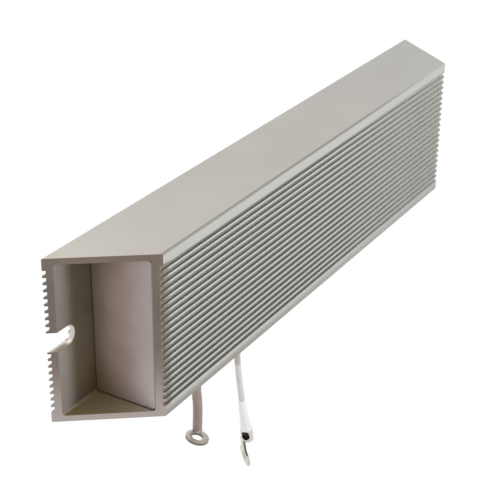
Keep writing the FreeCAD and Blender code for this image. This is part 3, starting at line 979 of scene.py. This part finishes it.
@dataclass
class EndPlates:
    """The two pressed-in end plates, with softly broken edges and a bead along the front seam."""

    frame: dict
    paints: Paints
    edge_mm: float = 0.1
    # A plate's cut edges are the faces whose normals lean along the housing by less than this.
    edge_slope: float = 0.3
    # The seam's width, and the bead in it: how far it sits behind the plate's face at its rims,
    # how much deeper its middle is, and how far back it reaches.
    seam_mm: float = 0.35
    bead_set_mm: float = 0.08
    bead_hollow_mm: float = 0.08
    bead_depth_mm: float = 1.2
    bead_steps: int = 7

    def build(self) -> None:
        """Make both plates in the place of their nodes."""
        for name in ("near_end_plate", "far_end_plate"):
            plate = softened_copy(self.frame["nodes"][name], f"{name}_sheet", self.edge_mm)
            dress(plate, self.paints.get(ROLLED), self.paints.get(SEAM))
            _, normals = face_layout(plate.data)
            # The second material, the painted seam shade, goes on the cut edges.
            edges = np.abs(normals[:, 0]) < self.edge_slope
            plate.data.polygons.foreach_set("material_index", edges.astype(np.int32))
            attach(plate, ROOT)
            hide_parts(name)
            LOG.info("%s", plate.name)
            self.build_bead(name)

    def build_bead(self, plate: str) -> None:
        """Fill the seam between a plate and the front wall.

        The bead is a hollowed strip: its cross-section, a half wave in depth across the seam,
        is carried straight up the plate's front edge and closed at both ends.

        Args:
            plate: the plate's node name.
        """
        low, high = (np.array(corner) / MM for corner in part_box(plate))
        outward = math.copysign(1.0, low[0])
        face = low[0] if outward < 0 else high[0]
        across = np.linspace(0.0, 1.0, self.bead_steps)
        front_y = low[1] - self.seam_mm + across * self.seam_mm
        depth = self.bead_set_mm + self.bead_hollow_mm * np.sin(math.pi * across)
        front_x = face - outward * depth
        back_y = front_y[::-1]
        back_x = np.full(self.bead_steps, face - outward * self.bead_depth_mm)
        ring = np.stack(
            [np.concatenate([front_x, back_x]), np.concatenate([front_y, back_y])], axis=1
        )
        heights = np.array([low[2], high[2]])
        corners = np.concatenate(
            [np.column_stack([ring, np.full(len(ring), height)]) for height in heights]
        )
        count = len(ring)
        first = np.arange(count)
        after = (first + 1) % count
        sides = np.stack([first, after, after + count, first + count], axis=1).tolist()
        ends = [first.tolist(), (first + count).tolist()]
        data = bpy.data.meshes.new(f"{plate}_bead")
        data.from_pydata((corners * MM).tolist(), [], [*sides, *ends])
        face_outwards(data)
        bead = placed(f"{plate}_bead", data)
        dress(bead, self.paints.get(COMPOUND))
        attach(bead, ROOT)
        LOG.info("%s", bead.name)


@dataclass
class Internals:
    """The pieces inside the housing, which keep their CAD shape."""

    frame: dict
    paints: Paints

    def build(self) -> None:
        """Give each inner node its finish."""
        finishes = (
            (SEAM, ("near_end_insulator", "far_end_insulator")),
            (CERAMIC, ("near_former_support", "far_former_support", "filler")),
            (MICA, ("winding_former", "mica_sleeve")),
            (ALLOY, ("resistance_winding", "near_terminal_bar", "far_terminal_bar")),
            (SILICONE, ("lead_1_root", "lead_2_root", "lead_1_bushing", "lead_2_bushing")),
            (TINNED, ("lead_1_crimp", "lead_2_crimp")),
        )
        for finish, names in finishes:
            for name in names:
                dress(self.frame["nodes"][name], self.paints.get(finish))
            LOG.info("%s: %s", finish.name, ", ".join(names))


@dataclass
class Lead:
    """A hanging lead: a smooth curve on the route's own points."""

    name: str
    node: str
    route_mm: tuple[tuple[float, float, float], ...]
    diameter_mm: float
    finish: Finish
    slot: str
    # Fineness of the curve round and along the lead, and how widely it rounds its points.
    round_steps: int = 6
    along_steps: int = 12
    order: int = 3

    def build(self, paints: Paints, with_pieces: list[bpy.types.Object]) -> bpy.types.Object:
        """Args:
            paints: where the materials are kept.
            with_pieces: the boot and terminal on it; not used.

        Returns:
            The curve object.
        """
        data = bpy.data.curves.new(self.name, "CURVE")
        data.dimensions = "3D"
        data.bevel_depth = self.diameter_mm / 2 * MM
        data.bevel_resolution = self.round_steps
        data.use_fill_caps = True
        data.resolution_u = self.along_steps
        spline = data.splines.new("NURBS")
        spline.points.add(len(self.route_mm) - 1)
        for point, place in zip(spline.points, self.route_mm):
            point.co = (*(value * MM for value in place), 1.0)
        spline.order_u = self.order
        spline.use_endpoint_u = True
        lead = placed(self.name, data)
        dress(lead, paints.get(self.finish))
        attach(lead, ROOT)
        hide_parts(self.node)
        return lead


@dataclass
class Terminals:
    """The two ring terminals: tinned faces, bare stamped edges and a crimp dimple in painted shade.
    """

    frame: dict
    paints: Paints
    edge_mm: float = 0.08
    # A stamped edge stands square to its eye's plane and lies within the sheet.
    edge_slope: float = 0.35
    sheet_zone_mm: float = 0.42
    eye_zone_mm: float = 9.0
    # The second terminal's edges are bare down to this depth below its barrel's top.
    bare_depth_mm: float = 12.0
    barrel_radius_mm: float = 2.45
    barrel_length_mm: float = 5.9
    barrel_skin_mm: float = 0.3
    # The dimple's floor keeps this far from the barrel's ends, and this far out from its axis.
    barrel_end_mm: float = 1.0
    dimple_out_mm: float = 0.3
    dimple_radius_mm: float = 1.6
    # Round spots of painted shade at these depths down the barrel.
    shade_spot_radius_mm: float = 1.55
    shade_spot_depths_mm: tuple[float, ...] = (1.45, 2.6)

    def build(self, end_2_mm: np.ndarray, along_2: np.ndarray) -> dict[str, bpy.types.Object]:
        """Make both terminals in the place of their nodes.

        Args:
            end_2_mm: where lead 2 enters its terminal's barrel.
            along_2: the unit vector down that barrel.

        Returns:
            The terminals by their lead's name.
        """
        made = {}
        for lead in ("lead_1", "lead_2"):
            node = f"{lead}_terminal"
            piece = softened_copy(self.frame["nodes"][node], f"{node}_finished", self.edge_mm)
            numbers = np.where(
                self.stamped(piece.data, lead), Skin.STAMPED.value, Skin.TINNED.value
            ).astype(np.int32)
            tinned = TINNED
            if lead == "lead_2":
                centres, _ = face_layout(piece.data)
                depth, _ = around_axis(centres, end_2_mm, along_2)
                numbers[depth > self.bare_depth_mm] = Skin.TINNED.value
                sunk, outward = self.dimpled(piece.data, end_2_mm, along_2)
                numbers[sunk] = Skin.DIMPLE_SHADE.value
                tinned = self.dimple_shaded(end_2_mm, along_2, outward)
            dress(piece, *map(self.paints.get, (tinned, STAMPED, DIMPLE_SHADE)))
            piece.data.polygons.foreach_set("material_index", numbers)
            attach(piece, ROOT)
            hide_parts(node)
            made[lead] = piece
            LOG.info("%s", piece.name)
        return made

    def dimple_shaded(self, end_mm: np.ndarray, along: np.ndarray, outward: np.ndarray) -> Finish:
        """The tinned finish with painted shade round the dimple and above it.

        Args:
            end_mm: where the lead enters the barrel.
            along: the unit vector down the barrel.
            outward: the unit vector from the barrel's axis out through the dimple.

        Returns:
            The finish with the painted shade.
        """
        spots = tuple(
            Spot(
                DIMPLE_SHADE.shade,
                tuple(end_mm + along * depth + outward * self.barrel_radius_mm),
                self.shade_spot_radius_mm,
            )
            for depth in self.shade_spot_depths_mm
        )
        return replace(TINNED, name="tinned_copper_painted_shade", tints=spots)

    def stamped(self, data: bpy.types.Mesh, lead: str) -> np.ndarray:
        """Which faces are the bare stamped edges round a terminal's eye or tongue.

        Args:
            data: the terminal's mesh.
            lead: the lead's name, whose eye is a mount in the record.

        Returns:
            True for each such face.
        """
        mounts = self.frame["record"]["mounts"]
        eye = next(mount for mount in mounts if mount["name"] == f"{lead}_eye")
        centres, normals = face_layout(data)
        height, beside = around_axis(centres, np.array(eye["pos_m"]) / MM, np.array(eye["axis"]))
        square = np.abs(normals @ np.array(eye["axis"])) < self.edge_slope
        return square & (np.abs(height) < self.sheet_zone_mm) & (beside < self.eye_zone_mm)

    def dimpled(
        self, data: bpy.types.Mesh, end_mm: np.ndarray, along: np.ndarray
    ) -> tuple[np.ndarray, np.ndarray]:
        """Which faces belong to the dimple in the second terminal's barrel.

        The dimple's floor is the largest face inside the barrel's outline, and the walls stand
        within its radius on the same side.

        Args:
            data: the terminal's mesh.
            end_mm: where the lead enters the barrel.
            along: the unit vector down the barrel.

        Returns:
            True for each such face, and the unit vector that points out through the dimple.
        """
        centres, normals = face_layout(data)
        areas = np.empty(len(centres))
        data.polygons.foreach_get("area", areas)
        depth, beside = around_axis(centres, end_mm, along)
        sunk = (depth > self.barrel_end_mm) & (depth < self.barrel_length_mm - self.barrel_end_mm)
        sunk &= beside < self.barrel_radius_mm - self.barrel_skin_mm
        outward = normals[np.argmax(np.where(sunk, areas, 0.0))]
        middle = end_mm + along * self.barrel_length_mm / 2
        out, apart = around_axis(centres, middle, outward)
        inside = (out > self.dimple_out_mm) & (apart < self.dimple_radius_mm + self.edge_mm)
        return inside, outward


@dataclass
class Boot:
    """The tapered boot over the end of lead 2, with a lip on the wire and a foot on the barrel."""

    paints: Paints
    length_mm: float = 15.8
    foot_radius_mm: float = 2.15
    top_radius_mm: float = 1.4
    # Tighter than the wire, so that it grips where the wire bends off the boot's axis.
    bore_mm: float = 1.04
    # The foot spreads to the barrel's edge over its last stretch.
    spread_mm: float = 0.3
    spread_length_mm: float = 1.3
    lip_mm: float = 0.12
    ripple_mm: float = 0.02
    ripple_pitch_mm: float = 2.6
    steps_along: int = 60
    steps_around: int = 48
    steps_lip: int = 7
    steps_bore: int = 6

    def profile(self) -> np.ndarray:
        """The boot's closed outline.

        The outside narrows in a straight line from foot to top, plus a spread that dies away over
        the foot's last stretch as a squared cosine, plus a faint sine ripple that fades out at
        both ends. A quarter ellipse turns it in to the wire at the top, and the bore runs straight
        back down.

        Returns:
            Rows of height over the foot and radius, in millimetres.
        """
        rise = np.linspace(0.0, 1.0, self.steps_along)
        height = rise * (self.length_mm - self.lip_mm)
        radius = self.foot_radius_mm + (self.top_radius_mm - self.foot_radius_mm) * rise
        near_foot = np.clip(height / self.spread_length_mm, 0.0, 1.0)
        radius += self.spread_mm * np.cos(near_foot * math.pi / 2) ** 2
        ripple = np.sin(2 * math.pi * height / self.ripple_pitch_mm) * np.sin(math.pi * rise)
        radius += self.ripple_mm * ripple
        turn = np.linspace(0.0, math.pi / 2, self.steps_lip)[1:]
        lip_height = height[-1] + self.lip_mm * np.sin(turn)
        lip_radius = self.bore_mm + (radius[-1] - self.bore_mm) * np.cos(turn)
        bore_height = np.linspace(height[-1], 0.0, self.steps_bore)
        bore_radius = np.full(len(bore_height), self.bore_mm)
        return np.stack(
            [
                np.concatenate([height, lip_height, bore_height]),
                np.concatenate([radius, lip_radius, bore_radius]),
            ],
            axis=1,
        )

    def build(self, end_mm: np.ndarray, along: np.ndarray) -> bpy.types.Object:
        """Carry the outline once round the lead's end.

        Args:
            end_mm: where the boot meets the terminal's barrel.
            along: the unit vector down the lead there.

        Returns:
            The boot, in its node's place.
        """
        outline = self.profile()
        side = np.cross(along, DEPTH_AXIS)
        side /= np.linalg.norm(side)
        front = np.cross(along, side)
        angle = np.linspace(0.0, 2 * math.pi, self.steps_around, endpoint=False)
        spokes = np.outer(np.cos(angle), side) + np.outer(np.sin(angle), front)
        places = (
            end_mm
            - outline[:, None, 0, None] * along
            + outline[:, None, 1, None] * spokes[None, :, :]
        )
        data = closed_grid("lead_2_boot_finished", places * MM)
        smooth(data)
        boot = placed("lead_2_boot_finished", data)
        dress(boot, self.paints.get(SILICONE))
        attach(boot, ROOT)
        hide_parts("lead_2_boot")
        LOG.info("%s", boot.name)
        return boot


@dataclass
class Leads:
    """Both leads with their boot and ring terminals."""

    frame: dict
    paints: Paints
    diameter_1_mm: float = 3.6
    diameter_2_mm: float = 2.4
    exit_1_mm: tuple[float, float, float] = (-68.5, -15.0, -30.0)
    exit_2_mm: tuple[float, float, float] = (-40.8, -15.0, -30.0)
    # Each point's place along X and Z from the exit.
    drop_1_mm: tuple[tuple[float, float], ...] = (
        (0.0, 0.0),
        (-0.3, -8.0),
        (-0.5, -17.0),
        (0.5, -24.0),
        (0.2, -30.5),
        (0.0, -34.65),
    )
    drop_2_mm: tuple[tuple[float, float], ...] = (
        (0.0, 0.0),
        (0.0, -12.0),
        (2.0, -30.0),
        (7.6, -54.4),
    )

    def route(
        self, start: tuple[float, float, float], drops: tuple[tuple[float, float], ...]
    ) -> tuple[tuple[float, float, float], ...]:
        """Work out a lead's points.

        Args:
            start: where it leaves the housing.
            drops: each point's place along X and Z from there.

        Returns:
            The points in millimetres.
        """
        return tuple((start[0] + across, start[1], start[2] + down) for across, down in drops)

    def build(self) -> None:
        """Make the leads and what hangs on them."""
        route_1 = self.route(self.exit_1_mm, self.drop_1_mm)
        route_2 = self.route(self.exit_2_mm, self.drop_2_mm)
        before, end = np.array(route_2[-2:])
        along = (end - before) / np.linalg.norm(end - before)
        terminals = Terminals(self.frame, self.paints).build(end, along)
        boot = Boot(self.paints).build(end, along)
        Lead(
            "lead_1_wire", "lead_1", route_1, self.diameter_1_mm, SLEEVING, "taupe_sleeving"
        ).build(self.paints, [terminals["lead_1"]])
        Lead(
            "lead_2_wire", "lead_2", route_2, self.diameter_2_mm, WIRE, "white_insulation"
        ).build(self.paints, [boot, terminals["lead_2"]])


@dataclass(frozen=True)
class Lamp:
    """A far lamp: the direction to it, its strength, its apparent size and its colour."""

    name: str
    towards: tuple[float, float, float]
    strength: float
    size_degrees: float
    colour: str

    def build(self) -> None:
        """Put the lamp into the scene."""
        data = bpy.data.lights.new(self.name, "SUN")
        data.energy = self.strength
        data.angle = math.radians(self.size_degrees)
        data.color = linear(self.colour)[:3]
        lamp = placed(self.name, data)
        lamp.rotation_euler = Vector(self.towards).to_track_quat("Z", "Y").to_euler()


@dataclass
class Studio:
    """White floor and surroundings, two lamps and the fitted camera."""

    # The fitted camera's place, its right-hand side and its line of sight.
    camera_mm: tuple[float, float, float] = (-410.614, -239.528, 214.167)
    right: tuple[float, float, float] = (0.513557, -0.858004, 0.009403)
    forward: tuple[float, float, float] = (0.77148, 0.456916, -0.442771)
    # Nothing nearer the camera than this is drawn.
    nearest_mm: float = 10.0
    floor_mm: float = -112.0
    floor_half_mm: float = 3000.0
    floor_colour: str = "#f4f4f3"
    # How strongly the white surroundings light the part.
    ambient: float = 0.76
    lamps: tuple[Lamp, ...] = (
        Lamp("front_lamp", (0.44, -0.9, -0.03), 2.0, 9.0, "#fbfdff"),
        Lamp("top_lamp", (0.1, 0.45, 0.89), 0.8, 40.0, "#fff6ea"),
    )

    def build(self) -> None:
        """Set the world, floor, lamps and camera."""
        self.build_world()
        self.build_floor()
        for lamp in self.lamps:
            lamp.build()
        self.build_camera()
        bpy.context.scene.view_settings.view_transform = "Standard"
        LOG.info("studio with %d lamps", len(self.lamps))

    def build_world(self) -> None:
        """White to the camera and in reflections, softer as light."""
        world = bpy.data.worlds.new("studio")
        bpy.context.scene.world = world
        world.use_nodes = True
        tree = world.node_tree
        tree.nodes.clear()
        strength = add_node(
            tree, "MapRange", inputs={"Value": self.seen_directly(tree), "To Min": self.ambient}
        ).outputs[0]
        light = add_node(
            tree, "Background", inputs={"Color": WHITE, "Strength": strength}
        ).outputs[0]
        add_node(tree, "OutputWorld", inputs={"Surface": light})

    def seen_directly(self, tree: Tree) -> Socket:
        """Tell the rays that see a surface from those that only carry its light.

        Args:
            tree: the node tree.

        Returns:
            One for camera, glossy and transmission rays, and zero for the rest.
        """
        path = add_node(tree, "LightPath").outputs
        total = path["Is Camera Ray"]
        for name in ("Is Glossy Ray", "Is Transmission Ray"):
            total = add_node(
                tree, "Math", {"operation": "MAXIMUM"}, {0: total, 1: path[name]}
            ).outputs[0]
        return total

    def build_floor(self) -> None:
        """Pale matt paper under the hanging leads, plain white where it is seen."""
        half = self.floor_half_mm
        corners = np.array([(-half, -half), (half, -half), (half, half), (-half, half)])
        places = np.column_stack([corners, np.full(len(corners), self.floor_mm)]) * MM
        data = bpy.data.meshes.new("floor")
        data.from_pydata(places.tolist(), [], [(0, 1, 2, 3)])
        floor = placed("floor", data)
        material = bpy.data.materials.new("white_paper")
        material.use_nodes = True
        tree = material.node_tree
        tree.nodes.clear()
        paper = add_node(
            tree, "BsdfDiffuse", inputs={"Color": linear(self.floor_colour)}
        ).outputs[0]
        glow = add_node(tree, "Emission", inputs={"Color": WHITE, "Strength": 1.0}).outputs[0]
        mixed = add_node(
            tree, "MixShader", inputs={0: self.seen_directly(tree), 1: paper, 2: glow}
        ).outputs[0]
        add_node(tree, "OutputMaterial", inputs={"Surface": mixed})
        dress(floor, material)

    def build_camera(self) -> None:
        """The camera fitted to the photograph."""
        data = bpy.data.cameras.new("camera")
        data.sensor_width = SENSOR_WIDTH
        data.lens = FOCAL_PIXELS / IMAGE_WIDTH * SENSOR_WIDTH
        data.clip_start = self.nearest_mm * MM
        forward = Vector(self.forward).normalized()
        right = Vector(self.right)
        right = (right - forward * right.dot(forward)).normalized()
        up = right.cross(forward)
        turn = Matrix((right, up, -forward)).transposed()
        camera = placed("camera", data)
        camera.matrix_world = Matrix.Translation(Vector(self.camera_mm) * MM) @ turn.to_4x4()
        bpy.context.scene.camera = camera


def main() -> None:
    """Load the frame and dress it, piece by piece."""
    logging.basicConfig(level=logging.INFO, format="%(message)s")
    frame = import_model()
    paints = Paints()
    Leads(frame, paints).build()
    Studio().build()
    Shell(frame, paints).build()
    EndPlates(frame, paints).build()
    Internals(frame, paints).build()


if __name__ == "__main__":
    main()
